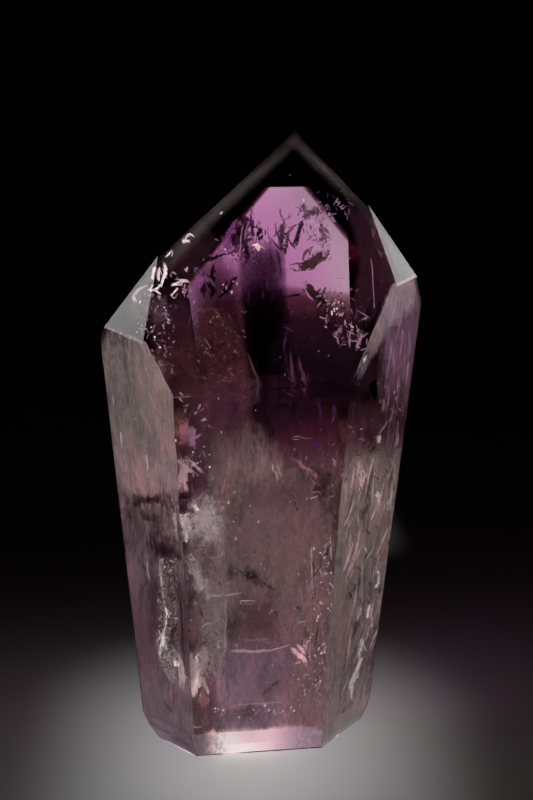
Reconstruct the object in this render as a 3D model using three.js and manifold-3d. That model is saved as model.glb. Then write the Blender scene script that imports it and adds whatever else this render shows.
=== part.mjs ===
// Polished amethyst point: one quartz crystal with six tall sides, a six-sided crown and a base sawn flat.
// Millimetres, +Z up. The origin lies on the base plane, under the middle of the stone's bounding box.
// A bearing is the compass angle of a face, from -Y (the front) towards +X (the right), in degrees.

import * as THREE from "three";
import { mergeVertices } from "three/addons/utils/BufferGeometryUtils.js";
import Module from "manifold-3d";

const wasm = await Module();
wasm.setup();

// Driving dimensions
const HEIGHT = 110;
const TIP = new THREE.Vector3(8.3, 8.6, HEIGHT);
const ARRIS_HEIGHT = 4.9;
const ARRIS_ROUNDING = 0.25;
const BLANK_WIDTH = 80;
const FLATNESS = 0.001;

// The six tall sides. Distance is from the origin to the side, measured level with the base.
// Flare is how far the side leans outwards on its way up, because the stone narrows to its base.
// Arris is how far the softened edge at its foot cuts in under the side.
const SIDES = [
  { name: "front", bearing: 0, distance: 17.64, flare: 5.3, arris: 1.9 },
  { name: "front right", bearing: 54.1, distance: 16.88, flare: 5.8, arris: 0.9 },
  { name: "back right", bearing: 114.9, distance: 18.0, flare: 6.2, arris: 1.1 },
  { name: "back", bearing: 176, distance: 16.03, flare: 5.2, arris: 1.8 },
  { name: "back left", bearing: -126.3, distance: 15.94, flare: 4.5, arris: 2.4 },
  { name: "front left", bearing: -67.8, distance: 21.5, flare: 5.65, arris: 1.7 },
];

// The six crown faces. Lean is the angle between the face and the upright, and clearance is how far
// outside the tip the face would pass, level with it: the faces with none meet in the tip.
const CROWN = [
  { name: "front", bearing: -0.9, lean: 38.9, clearance: 0 },
  { name: "front right", bearing: 53.8, lean: 33.5, clearance: 6.85 },
  { name: "back right", bearing: 111.5, lean: 27.7, clearance: 0 },
  { name: "back", bearing: 174.4, lean: 38.2, clearance: 0.4 },
  { name: "back left", bearing: -127.8, lean: 33.1, clearance: 0 },
  { name: "front left", bearing: -65.5, lean: 32.9, clearance: 19.15 },
];

// Level direction of a bearing
function level(bearing) {
  const turn = THREE.MathUtils.degToRad(bearing);
  return new THREE.Vector3(Math.sin(turn), -Math.cos(turn), 0);
}

// A mesh as a solid that can be cut
function solidOf(mesh) {
  mesh.updateMatrix();
  const geometry = mesh.geometry.clone().applyMatrix4(mesh.matrix);
  geometry.deleteAttribute("normal");
  geometry.deleteAttribute("uv");
  const merged = mergeVertices(geometry);
  return new wasm.Manifold(
    new wasm.Mesh({
      numProp: 3,
      vertProperties: merged.attributes.position.array,
      triVerts: new Uint32Array(merged.index.array),
    }),
  );
}

// Grinds away all that lies beyond the plane through a point, square to the outward direction
function grind(stone, point, outward) {
  const size = 2 * HEIGHT;
  const wheel = new THREE.Mesh(new THREE.BoxGeometry(size, size, size));
  wheel.quaternion.setFromUnitVectors(new THREE.Vector3(0, 0, 1), outward);
  wheel.position.copy(point).addScaledVector(outward, size / 2);
  return stone.subtract(solidOf(wheel));
}

// One tall side
function grindSide(stone, side) {
  const flare = THREE.MathUtils.degToRad(side.flare);
  const outward = level(side.bearing).multiplyScalar(Math.cos(flare));
  outward.z = -Math.sin(flare);
  return grind(stone, level(side.bearing).multiplyScalar(side.distance), outward);
}

// One crown face
function grindCrown(stone, face) {
  const lean = THREE.MathUtils.degToRad(face.lean);
  const outward = level(face.bearing).multiplyScalar(Math.cos(lean));
  outward.z = Math.sin(lean);
  const point = TIP.clone().addScaledVector(level(face.bearing), face.clearance);
  return grind(stone, point, outward);
}

// The softened edge at the foot of one side: two narrow facets from the side down to the base,
// which meet a little outside the straight line between their far edges
function grindArris(stone, side) {
  const out = level(side.bearing);
  const pointAt = (distance, height) => out.clone().multiplyScalar(distance).setZ(height);
  const outwardOf = (low, high) => {
    const widening = high.clone().sub(low).dot(out);
    return out.clone().multiplyScalar(high.z - low.z).setZ(-widening).normalize();
  };
  const flare = THREE.MathUtils.degToRad(side.flare);
  const top = pointAt(side.distance + Math.tan(flare) * ARRIS_HEIGHT, ARRIS_HEIGHT);
  const foot = pointAt(side.distance - side.arris, 0);
  const bend = top.clone().add(foot).divideScalar(2);
  bend.addScaledVector(outwardOf(foot, top), ARRIS_ROUNDING);
  return grind(grind(stone, bend, outwardOf(bend, top)), bend, outwardOf(foot, bend));
}

// The whole stone, cut from an upright blank that stands on the base plane, each facet left as few
// triangles as it needs
function cutStone() {
  const blank = new THREE.Mesh(new THREE.BoxGeometry(BLANK_WIDTH, BLANK_WIDTH, HEIGHT));
  blank.position.z = HEIGHT / 2;
  let stone = solidOf(blank);
  for (const side of SIDES) stone = grindSide(stone, side);
  for (const face of CROWN) stone = grindCrown(stone, face);
  for (const side of SIDES) stone = grindArris(stone, side);
  const { vertProperties, triVerts } = stone.asOriginal().simplify(FLATNESS).getMesh();
  const geometry = new THREE.BufferGeometry();
  geometry.setAttribute("position", new THREE.BufferAttribute(vertProperties, 3));
  geometry.setIndex(new THREE.BufferAttribute(triVerts, 1));
  return geometry;
}

const amethyst = new THREE.MeshStandardMaterial({
  name: "amethyst",
  color: 0x7b5673,
  roughness: 0.04,
  metalness: 0,
  transparent: true,
  opacity: 0.6,
  flatShading: true,
});

const stone = new THREE.Mesh(cutStone(), amethyst);
stone.name = "amethyst_point";

const point = new THREE.Group();
point.name = "polished_amethyst_point";
point.add(stone);

export default point;
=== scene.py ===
"""Polished amethyst point: the looks of the stone, built around its measured solid.

Metres, +Z up. A bearing is the compass angle from -Y (the front) towards +X (the right), in degrees.
What lies inside the stone is placed by where the photograph shows it. A stroke is a thin sheet that
follows a line of points, each with its x, y and width in pixels of the photograph, at a depth in
millimetres behind the facet that the camera looks through, which is its window.
"""

import math
import random

import bmesh
import bpy
from bpy.props import FloatProperty, FloatVectorProperty, IntProperty, PointerProperty
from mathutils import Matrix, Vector, noise
from mathutils.bvhtree import BVHTree


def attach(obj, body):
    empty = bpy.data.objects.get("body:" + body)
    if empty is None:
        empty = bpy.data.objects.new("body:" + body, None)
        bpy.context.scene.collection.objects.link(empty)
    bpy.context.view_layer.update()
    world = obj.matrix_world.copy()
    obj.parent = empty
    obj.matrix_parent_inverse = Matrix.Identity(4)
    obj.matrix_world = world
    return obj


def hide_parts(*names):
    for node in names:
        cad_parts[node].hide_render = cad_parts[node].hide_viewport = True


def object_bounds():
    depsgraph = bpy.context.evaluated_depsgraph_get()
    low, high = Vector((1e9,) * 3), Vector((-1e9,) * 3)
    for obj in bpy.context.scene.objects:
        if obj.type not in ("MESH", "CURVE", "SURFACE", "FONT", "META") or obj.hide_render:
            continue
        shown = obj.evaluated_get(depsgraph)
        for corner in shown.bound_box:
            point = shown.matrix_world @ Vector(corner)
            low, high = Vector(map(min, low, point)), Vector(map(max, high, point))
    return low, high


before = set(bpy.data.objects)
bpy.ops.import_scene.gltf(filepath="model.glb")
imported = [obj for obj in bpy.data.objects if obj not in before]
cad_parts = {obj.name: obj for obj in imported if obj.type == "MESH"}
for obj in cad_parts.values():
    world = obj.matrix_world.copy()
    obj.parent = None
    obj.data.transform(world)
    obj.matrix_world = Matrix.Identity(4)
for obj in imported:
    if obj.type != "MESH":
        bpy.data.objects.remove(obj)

bl_info = {
    "name": "Polished Amethyst Point",
    "version": (1, 0, 0),
    "blender": (4, 5, 0),
    "location": "View3D > Sidebar > Amethyst",
    "description": "Gives a polished amethyst point its stone, inclusions, floor, light and camera",
    "category": "Object",
}

SOLID_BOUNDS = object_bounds()
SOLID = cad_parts["amethyst_point"]
BODY = "root"
MM = 0.001
UP = Vector((0, 0, 1))
WHITE = (1, 1, 1, 1)

# The camera that took the photograph, in the stone's own frame
PHOTO_WIDTH, PHOTO_HEIGHT = 533, 800
CAMERA_BEARING = -11.3
CAMERA_ELEVATION = 13.46
CAMERA_DISTANCE = 598.5 * MM
CAMERA_AIM = Vector((-0.63, -9.33, 63.99)) * MM
CAMERA_LENS = 150.6
SENSOR = 36.0

QUARTZ_INDEX = 1.545
# A zone of deeper colour doesn't bend the light
ZONE_INDEX = 1.0

# Corners closer than this are one, and faces that meet at less than this angle are one facet
WELD = 0.001 * MM
FACET_ANGLE = math.radians(0.5)
# A place outside the stone, seen from any place on it, in metres
FAR = 0.3
# How far the sheets, the lenses, and what is placed through a window stay from the facets
CLEARANCE = 0.3 * MM
LENS_CLEARANCE = 0.5 * MM
BACK_CLEARANCE = 1.0 * MM

# The fewest and the most steps of a stroke, along and across, and the pixels of one step
STEPS_ALONG = (3, 40, 3)
STEPS_ACROSS = (1, 14, 4)
# How quickly a stroke's edges and its surface wander, for each pixel
EDGE_PITCH = 0.21
WAVE_PITCH = (0.07, 0.04)
# The share of a stroke over which its heading is taken, and its least width in pixels
HEADING_STEP = 0.01
LEAST_WIDTH = 0.2
# The widths of a splinter beside a stroke, as shares of the stroke's own width
SIDE_SPLINTER = (0.1, 0.32, 0.1)
# How strongly noise swings about 0
GRAIN_SWING = 2.5
# How far warm places shift the tone, and the levels of noise where they start and are whole
WARMTH = (1.08, 0.9, 0.88, 1)
WARM_PLACES = (-0.2, 0.6)
# Where the walls of lace end and are whole, how far they wander, and where a sheet's own edge is
LACE_WALL = (0.14, 0.04)
LACE_WARP = 1.5
SHEET_EDGE = (1.0, 0.97)
BUMP_DEPTH = 0.3 * MM

ARRIS_STEPS = 3
ARRIS_ANGLE = math.radians(5)
# How far the outline of a lens waves, and how quickly
LENS_WAVE = 0.15
LENS_WAVE_PITCH = 1.6
# Splinters of the fields: their widths in pixels, how far they bend, how they narrow to their
# ends, and how dense they are
SPLINTER_WIDTHS = (0.8, 3.2)
SPLINTER_BEND = 0.5
SPLINTER_TAPER = 0.7
SPLINTER_DENSITIES = (0.3, 0.85)
# Wisps of cloud: their widths and heights in millimetres, how dense they are, how far they lean
# in degrees, how far they keep from the facets, and how they thin out with height
WISP_WIDTHS = (4, 12)
WISP_HEIGHTS = (6, 20)
WISP_DENSITIES = (0.25, 0.6)
WISP_LEAN = 14
WISP_CLEARANCE = 3 * MM
WISP_THINNING, WISP_FULLNESS = 2.6, 0.5
# Specks in clusters, and strays all over the stone: their sizes in millimetres, how much deeper
# than its cluster a speck may be, and how far a stray keeps from the facets
SPECK_SIZES = (0.12, 0.36)
SPECK_DEPTHS = (0, 3)
STRAY_SIZES = (0.08, 0.25)
STRAY_CLEARANCE = 1.5 * MM

# A pixel of the photograph inside each facet that faces the camera
FACET_PIXELS = {
    "front": (260, 600),
    "left": (130, 500),
    "right": (380, 500),
    "crown": (270, 300),
    "left crown": (122, 322),
    "right crown": (405, 282),
    "front arris": (270, 735),
    "left arris": (165, 724),
    "right arris": (352, 716),
    "front bevel": (250, 745),
    "left bevel": (168, 738),
    "right bevel": (345, 727),
}

# Softboxes: the bearing, elevation and distance of each from what it points at, which is in
# millimetres, its width and height, its power, and how far its light spreads. Each is flagged so
# that it lights the stone alone or the floor alone.
SOFTBOXES = {
    "left_softbox": {
        "bearing": -126, "elevation": 25, "distance": 0.62, "size": (0.24, 0.26), "power": 0.46,
        "aim": (0, 0, 60)},
    "right_softbox": {
        "bearing": 121, "elevation": 18, "distance": 0.62, "size": (0.26, 0.26), "power": 0.44,
        "aim": (0, 0, 60)},
    "front_left_softbox": {
        "bearing": -72, "elevation": 48, "distance": 0.55, "size": (0.34, 0.3), "power": 3.2,
        "aim": (0, -30, 40)},
    "front_right_softbox": {
        "bearing": 80, "elevation": 48, "distance": 0.55, "size": (0.3, 0.3), "power": 1.8,
        "aim": (0, -30, 40)},
    "base_softbox": {
        "bearing": 172, "elevation": 14, "distance": 0.6, "size": (0.25, 0.16), "power": 0.17,
        "aim": (0, 0, 20)},
    "pool_softbox": {
        "bearing": 172, "elevation": 75, "distance": 0.4, "size": (0.012, 0.05), "power": 0.0051,
        "aim": (31, 142, 0), "spread": 7, "lights": "floor"},
    "floor_softbox": {
        "bearing": -11.8, "elevation": 89.5, "distance": 0.336, "size": (0.01, 0.089),
        "power": 0.0078, "aim": (-5, -18, 0), "spread": 14.5, "lights": "floor"},
    "near_floor_softbox": {
        "bearing": -11.8, "elevation": 89.5, "distance": 0.336, "size": (0.046, 0.218),
        "power": 0.0051, "aim": (-40, -105, 0), "spread": 35, "lights": "floor"},
}
FLOOR_HALF_WIDTH = 6.0
FLOOR_DROP = 0.1 * MM
FLOOR_ROUGHNESS = 0.7
ROOM_COLOR = (0.5, 0.5, 0.5, 1)
ROOM_GLOW = 0.001
# How often light may bounce or pass on its way through the stone and its many sheets
BOUNCES = {
    "transparent_max_bounces": 64, "max_bounces": 24, "transmission_bounces": 24, "glossy_bounces": 6}


def direction(bearing, elevation=0.0):
    """Unit vector of a bearing and an elevation in degrees."""
    b, e = math.radians(bearing), math.radians(elevation)
    return Vector((math.sin(b) * math.cos(e), -math.cos(b) * math.cos(e), math.sin(e)))


def curve_point(points, along):
    """The point of a smooth line through the points, 0 at its start and 1 at its end."""
    place = along * (len(points) - 1)
    start = max(0, min(int(place), len(points) - 2))
    t = place - start
    a, b, c, d = (
        Vector(points[max(0, min(i, len(points) - 1))]) for i in range(start - 1, start + 3))
    bend = (2 * a - 5 * b + 4 * c - d) * t ** 2 + (3 * b - a - 3 * c + d) * t ** 3
    return (2 * b + (c - a) * t + bend) / 2


def step_count(size, fewest, most, step):
    """How many steps a size takes, kept between the fewest and the most."""
    return max(fewest, min(most, round(size / step)))


class Signal:
    """A number on its way through a material. An operator on it adds a Math node."""

    def __init__(self, finish, socket):
        self.finish, self.socket = finish, socket

    def _math(self, operation, *values):
        return self.finish.add("ShaderNodeMath", {"operation": operation}, dict(enumerate(values)))

    def __add__(self, other):
        return self._math("ADD", self, other)

    def __sub__(self, other):
        return self._math("SUBTRACT", self, other)

    def __rsub__(self, other):
        return self._math("SUBTRACT", other, self)

    def __mul__(self, other):
        return self._math("MULTIPLY", self, other)

    def __abs__(self):
        return self._math("ABSOLUTE", self)

    def larger(self, other):
        return self._math("MAXIMUM", self, other)

    __radd__ = __add__
    __rmul__ = __mul__

    def fade(self, low, high):
        """0 at low, 1 at high and smooth between, also where low is above high."""
        settings = {"interpolation_type": "SMOOTHSTEP", "clamp": True}
        down = low > high
        ends = {"From Min": min(low, high), "From Max": max(low, high)}
        ends["To Min"], ends["To Max"] = float(down), float(not down)
        return self.finish.add("ShaderNodeMapRange", settings, {"Value": self, **ends})


class Finish:
    """A material, built node by node."""

    def __init__(self, name):
        self.material = bpy.data.materials.new(name)
        self.material.use_nodes = True
        self.tree = self.material.node_tree
        self.tree.nodes.clear()
        self.output = self.tree.nodes.new("ShaderNodeOutputMaterial")

    def add(self, kind, settings=None, inputs=None, output=0):
        """Adds a node: its settings come first, then the values or links of its sockets."""
        node = self.tree.nodes.new(kind)
        for name, value in (settings or {}).items():
            setattr(node, name, value)
        for name, value in (inputs or {}).items():
            self.feed(node.inputs[name], value)
        return Signal(self, node.outputs[output])

    def feed(self, socket, value):
        if isinstance(value, Signal):
            self.tree.links.new(value.socket, socket)
        else:
            socket.default_value = value

    def output_of(self, signal, name):
        """Another output of the node that the signal comes from."""
        return Signal(self, signal.socket.node.outputs[name])

    def mixed(self, factor, first, second, blend="MIX"):
        settings = {"data_type": "RGBA", "blend_type": blend}
        return self.add("ShaderNodeMix", settings, {0: factor, 6: first, 7: second}, output=2)

    def grain(self, size, stretch=(1, 1, 1), detail=4, turn=(0, 0, 0)):
        """Noise about 0 on the piece's own place, whose features are about as wide as size."""
        place = self.add("ShaderNodeTexCoord", output="Object")
        scale = [1 / (size * amount) for amount in stretch]
        inputs = {"Vector": place, "Scale": scale, "Rotation": turn}
        mapped = self.add("ShaderNodeMapping", {"vector_type": "POINT"}, inputs)
        inputs = {"Vector": mapped, "Scale": 1.0, "Detail": detail, "Roughness": 0.55}
        return (self.add("ShaderNodeTexNoise", {}, inputs) - 0.5) * GRAIN_SWING

    def cells(self, size, warp):
        """How far a place is from the nearest wall of a net of cells, 0 on the wall."""
        place = self.add("ShaderNodeTexCoord", output="Object")
        bend = self.add("ShaderNodeTexNoise", {}, {"Vector": place, "Scale": 0.8 / size}, "Color")
        shift = self.add("ShaderNodeVectorMath", {"operation": "SCALE"}, {0: bend, "Scale": size * warp})
        bent = self.add("ShaderNodeVectorMath", {"operation": "ADD"}, {0: place, 1: shift})
        settings = {"feature": "DISTANCE_TO_EDGE"}
        return self.add("ShaderNodeTexVoronoi", settings, {"Vector": bent, "Scale": 1 / size})

    def finished(self, surface, volume=None):
        """Joins the shaders to the material's output and returns the material."""
        self.feed(self.output.inputs["Surface"], surface)
        if volume:
            self.feed(self.output.inputs["Volume"], volume)
        return self.material


def clear_finish(name, index, tint, density):
    """Finish of clear matter, which takes light all along the way through it."""
    finish = Finish(name)
    surface = finish.add("ShaderNodeBsdfPrincipled", inputs={
        "Base Color": WHITE, "Roughness": 0.0, "IOR": index, "Transmission Weight": 1.0})
    inputs = {"Color": (*tint, 1), "Density": density}
    return finish.finished(surface, finish.add("ShaderNodeVolumeAbsorption", inputs=inputs))


def sheet_finish(name, painted_glow, size=0.4, stretch=(1, 1, 3), body=1.2, ragged=1.0, gaps=(0.1, 0.4),
                 contrast=0.6, roughness=0.5, round_edge=False, lace=0.0, relief=0.6, shine=0.0):
    """Finish of thin sheets: the tone of each point, broken up by grain, and ragged at the edges.

    Body is how solid a sheet is along its middle, and gaps are the levels where it starts to show
    and where it is whole. Lace is the size of the cells whose walls alone show, in millimetres.
    Glow is painted light: the sheet gives off its own colour, standing in for the light that it
    scatters.
    """
    finish = Finish(name)
    tone = finish.add("ShaderNodeAttribute", {"attribute_name": "tone"}, output="Color")
    density = finish.output_of(tone, "Alpha")
    flat = finish.add("ShaderNodeUVMap", {"uv_map": "sheet"})
    if round_edge:
        settings = {"operation": "DISTANCE"}
        reach = 2 * finish.add("ShaderNodeVectorMath", settings, {0: flat, 1: (0.5, 0.5, 0)}, "Value")
    else:
        parts = finish.add("ShaderNodeSeparateXYZ", inputs={"Vector": flat})
        reach = abs(2 * parts - 1).larger(abs(2 * finish.output_of(parts, "Y") - 1))
    fine = finish.grain(size * MM, stretch)
    medium = finish.grain(size * 4 * MM, stretch, detail=3, turn=(0, 0.12, 0))
    broad = finish.grain(size * 14 * MM, (1, 1, 1.6), detail=2)
    clouds = 0.4 * fine + 0.4 * medium + 0.3 * broad
    shade = 1 + clouds * contrast
    grey = finish.add("ShaderNodeCombineColor", inputs={"Red": shade, "Green": shade, "Blue": shade})
    color = finish.mixed(1.0, tone, grey, "MULTIPLY")
    warm = finish.mixed(1.0, color, WARMTH, "MULTIPLY")
    color = finish.mixed((medium + broad).fade(*WARM_PLACES), color, warm)
    cover = ((1 - reach) * body + clouds * ragged).fade(*gaps) * density
    if lace:
        cover = cover * finish.cells(lace * MM, LACE_WARP).fade(*LACE_WALL)
    cover = cover * reach.fade(*SHEET_EDGE)
    inputs = {"Height": fine, "Distance": BUMP_DEPTH, "Strength": relief}
    bump = finish.add("ShaderNodeBump", inputs=inputs)
    # The emission of the sheet's own colour is a painted glow, not a lamp
    return finish.finished(finish.add("ShaderNodeBsdfPrincipled", inputs={
        "Base Color": color, "Roughness": roughness, "Alpha": cover, "Emission Color": color,
        "Emission Strength": painted_glow, "Specular IOR Level": shine, "Normal": bump}))


class Stone:
    """The measured solid: where its facets lie, and what the camera sees through them."""

    def __init__(self):
        self.shape = bmesh.new()
        self.shape.from_mesh(SOLID.data)
        bmesh.ops.remove_doubles(self.shape, verts=self.shape.verts, dist=WELD)
        bmesh.ops.dissolve_limit(
            self.shape, angle_limit=FACET_ANGLE, verts=self.shape.verts, edges=self.shape.edges)
        self.facets = [(face.calc_center_median(), face.normal.copy()) for face in self.shape.faces]
        self.tree = BVHTree.FromBMesh(self.shape)
        self.forward = -direction(CAMERA_BEARING, CAMERA_ELEVATION)
        self.eye = CAMERA_AIM - self.forward * CAMERA_DISTANCE
        self.right = self.forward.cross(UP).normalized()
        self.up = self.right.cross(self.forward)
        self.shape.faces.ensure_lookup_table()
        self.windows, self.frames, self.faces = {}, {}, {}
        for name, pixel in FACET_PIXELS.items():
            point, normal, index, _ = self.tree.ray_cast(self.eye, self.sight(*pixel))
            self.windows[name], self.faces[name] = (point, normal), index
            self.frames[name] = self.frame_of(self.shape.faces[index])

    def sight(self, x, y):
        """Direction in which the camera sees a pixel of the photograph."""
        focal = CAMERA_LENS / SENSOR * PHOTO_HEIGHT
        across, down = (x - PHOTO_WIDTH / 2) / focal, (y - PHOTO_HEIGHT / 2) / focal
        return (self.forward + self.right * across - self.up * down).normalized()

    def bent(self, sight, normal):
        """Direction of a line of sight once it has passed a facet."""
        slope = -sight.dot(normal)
        bend = 1 / QUARTZ_INDEX
        return sight * bend + normal * (bend * slope - math.sqrt(1 - bend ** 2 * (1 - slope ** 2)))

    def frame_of(self, facet):
        """The planes, a point and a normal each, beyond which a facet doesn't show the inside."""
        planes = []
        middle = facet.calc_center_median()
        for edge in facet.edges:
            first, second = (vert.co for vert in edge.verts)
            point = (first + second) / 2
            inward = self.bent((point - self.eye).normalized(), facet.normal)
            normal = (second - first).cross(inward).normalized()
            if normal.dot(middle - point) > 0:
                normal.negate()
            planes.append((point, normal))
        return planes

    def seen(self, window, x, y, depth):
        """The place inside the stone that a window shows at a pixel, at a depth behind it."""
        point, normal = self.windows[window]
        sight = self.sight(x, y)
        entry = self.eye + sight * ((point - self.eye).dot(normal) / sight.dot(normal))
        inward = self.bent(sight, normal)
        far_side, _, _, distance = self.tree.ray_cast(entry + inward * FAR, -inward)
        if far_side is not None:
            path = FAR - distance
            depth = min(depth, max(0.5 * path, path - BACK_CLEARANCE))
        return entry + inward * depth

    def shows(self, window, x, y):
        """Whether a pixel of the photograph lies on the window's own facet."""
        return self.tree.ray_cast(self.eye, self.sight(x, y))[2] == self.faces[window]

    def holds(self, place, clearance):
        return all((place - point).dot(normal) < -clearance for point, normal in self.facets)

    def room(self, place, offset):
        """The share of an offset from a place that stays clear of every facet, at most 1."""
        share = 1.0
        for point, normal in self.facets:
            climb = offset.dot(normal)
            if climb > 0:
                gap = max(0.0, (point - place).dot(normal) - LENS_CLEARANCE)
                share = min(share, gap / climb)
        return share

    def facet_towards(self, bearing, elevation):
        """The middle and the normal of the facet that faces a direction."""
        return max(self.facets, key=lambda facet: facet[1].dot(direction(bearing, elevation)))

    def cut(self, shape, point, normal, closed=False):
        """Cuts off what lies beyond a plane, and closes the shape there if asked."""
        made = bmesh.ops.bisect_plane(
            shape, geom=shape.verts[:] + shape.edges[:] + shape.faces[:],
            plane_co=point, plane_no=normal, clear_outer=True)
        rim = [item for item in made["geom_cut"] if isinstance(item, bmesh.types.BMEdge)]
        if closed and rim:
            bmesh.ops.edgeloop_fill(shape, edges=rim)

    def trim(self, shape, closed=False):
        """Cuts off what comes closer to a facet than the clearance."""
        for point, normal in self.facets:
            self.cut(shape, point - normal * CLEARANCE, normal, closed)


def lit_by(name):
    """The collection of what the softboxes for the stone, or for the floor, light."""
    return bpy.data.collections.get(name) or bpy.data.collections.new(name)


def new_object(name, shape, finish, lights, smooth=False):
    """Puts a shape in the scene, with a finish, among what the named softboxes light."""
    for face in shape.faces:
        face.smooth = smooth
    mesh = bpy.data.meshes.new(name)
    shape.to_mesh(mesh)
    shape.free()
    mesh.materials.append(finish)
    piece = bpy.data.objects.new(name, mesh)
    bpy.context.scene.collection.objects.link(piece)
    lit_by(lights).objects.link(piece)
    return piece


def in_stone(name, shape, finish, smooth=False):
    """Puts a new piece in the scene, on the stone's body."""
    piece = new_object(name, shape, finish, "stone", smooth)
    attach(piece, BODY)
    return piece


class Inclusions:
    """Thin sheets inside the stone, gathered in one mesh. Each of its points carries a tone,
    whose fourth value is how dense the sheet is there."""

    def __init__(self, name, seed):
        self.stone, self.name, self.seed = Stone(), name, seed
        self.shape = bmesh.new()
        self.tone = self.shape.verts.layers.float_color.new("tone")
        self.flat = self.shape.loops.layers.uv.new("sheet")
        self.random = random.Random(seed)

    def sheet(self, steps, place, tones, density):
        """One sheet of steps along and across, each point put where place says."""
        made = bmesh.ops.create_grid(
            self.shape, x_segments=steps[0], y_segments=steps[1], size=1)
        for face in {face for vert in made["verts"] for face in vert.link_faces}:
            for corner in face.loops:
                corner[self.flat].uv = (corner.vert.co.xy + Vector((1, 1))) / 2
        for vert in made["verts"]:
            along, across = (vert.co.x + 1) / 2, (vert.co.y + 1) / 2
            tone = Vector(curve_point(tones, along)) if len(tones) > 1 else Vector(tones[0])
            vert[self.tone] = (*tone, density)
            vert.co = place(along, across)
        return made["verts"]

    def stroke(self, window, depth, tones, density, points, lean=0.0, relief=0.5, ragged=0.15,
               splinters=0):
        """A sheet that follows a line of the photograph, with thin splinters beside it.

        Lean, relief and ragged say how far the sheet tips, waves and frays.
        """
        length = sum(math.dist(a[:2], b[:2]) for a, b in zip(points, points[1:]))
        width = max(point[2] for point in points)
        steps = (step_count(length, *STEPS_ALONG), step_count(width, *STEPS_ACROSS))

        def place(along, across):
            x, y, breadth = curve_point(points, along)
            ahead = curve_point(points, min(1, along + HEADING_STEP))
            behind = curve_point(points, max(0, along - HEADING_STEP))
            heading = math.atan2(ahead[1] - behind[1], ahead[0] - behind[0])
            side_seed = self.seed + round(across) * 7
            edge = noise.noise(Vector((x * EDGE_PITCH, y * EDGE_PITCH, side_seed)))
            side = (across - 0.5) * max(LEAST_WIDTH, breadth) * (1 + ragged * 2 * edge)
            x, y = x - side * math.sin(heading), y + side * math.cos(heading)
            wave = noise.noise(Vector((x * WAVE_PITCH[0], y * WAVE_PITCH[1], self.seed)))
            at = depth + lean * (across - 0.5) + relief * wave
            return self.stone.seen(window, x, y, at * MM)

        self.frame(window, self.sheet(steps, place, tones, density))
        for _ in range(splinters):
            start, reach = self.random.uniform(0, 0.6), self.random.uniform(0.25, 0.5)
            offset, turn = self.random.uniform(-0.9, 0.9), self.random.uniform(-0.8, 0.8)
            splinter = []
            for step, share in enumerate(SIDE_SPLINTER):
                x, y, breadth = curve_point(points, min(1, start + reach * step / 2))
                shift = (offset + turn * (step - 1)) * breadth
                splinter.append((x + shift, y + 0.4 * shift, max(0.5, share * breadth)))
            deeper = depth + self.random.uniform(-0.8, 0.8)
            self.stroke(window, deeper, tones, density * 0.85, splinter, lean, relief, ragged)

    def frame(self, window, verts):
        """Cuts a sheet where the window that shows it ends."""
        part = dict.fromkeys(
            item for vert in verts for item in (vert, *vert.link_edges, *vert.link_faces))
        for point, normal in self.stone.frames[window]:
            if all((vert.co - point).dot(normal) < 0 for vert in verts):
                continue
            made = bmesh.ops.bisect_plane(
                self.shape, geom=list(part), plane_co=point, plane_no=normal, clear_outer=True)
            part = made["geom"]
            verts = [item for item in part if isinstance(item, bmesh.types.BMVert)]

    def finished(self, finish):
        """Trims the sheets to the stone and puts them in the scene as one piece."""
        self.stone.trim(self.shape)
        in_stone(self.name, self.shape, finish, smooth=True)


def lay(context, name, strokes, seed, finish, wider=1.0, **shaping):
    """Lays a table of strokes as one piece, each of them wider by one factor."""
    colors = context.scene.amethyst_inclusions
    piece = Inclusions(name, seed)
    for window, depth, tones, density, points in strokes:
        tones = [getattr(colors, tone) for tone in tones.split()]
        points = [(x, y, width * wider) for x, y, width in points]
        piece.stroke(window, depth, tones, density, points, **shaping)
    piece.finished(finish)


def amount(name, description, default, **options):
    return FloatProperty(name=name, description=description, default=default, **options)


def swatch(name, description, default):
    return FloatVectorProperty(
        name=name, description=description, default=default, size=3, subtype="COLOR", min=0, max=1)


class StoneSettings(bpy.types.PropertyGroup):
    arris: amount("Arris", "Width of the rounded edges between facets", 0.3 * MM, unit="LENGTH")
    tint: swatch("Tint", "Colour that the stone leaves in light that crosses it", (0.70, 0.20, 0.50))
    density: amount("Density", "How strongly the stone takes light, for each metre", 30.0)
    # These tint the zones of painted shade, which darken the stone where it looks dark
    smoke: swatch("Smoke", "Colour that the smoky zones leave in the light", (0.26, 0.0, 0.06))
    painted_shade_density: amount(
        "Smoke density", "How strongly the smoky zones take light, for each metre", 560.0)
    violet: swatch("Violet", "Colour that the violet zones leave in the light", (0.08, 0.0, 0.12))
    violet_density: amount(
        "Violet density", "How strongly the violet zones take light, for each metre", 430.0)
    crown: swatch("Crown", "Colour that the crown leaves in the light", (1.0, 0.0, 0.90))
    crown_density: amount(
        "Crown density", "How strongly the crown takes light, for each metre", 34.0)
    # These shape the painted shade just under the rear crown facets
    face_depth: amount(
        "Face depth", "How far the smoky zones reach under the rear crown facets", 1.0 * MM,
        unit="LENGTH")
    face_density: amount(
        "Face density", "How strongly those zones take light, for each metre", 1300.0)


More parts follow.
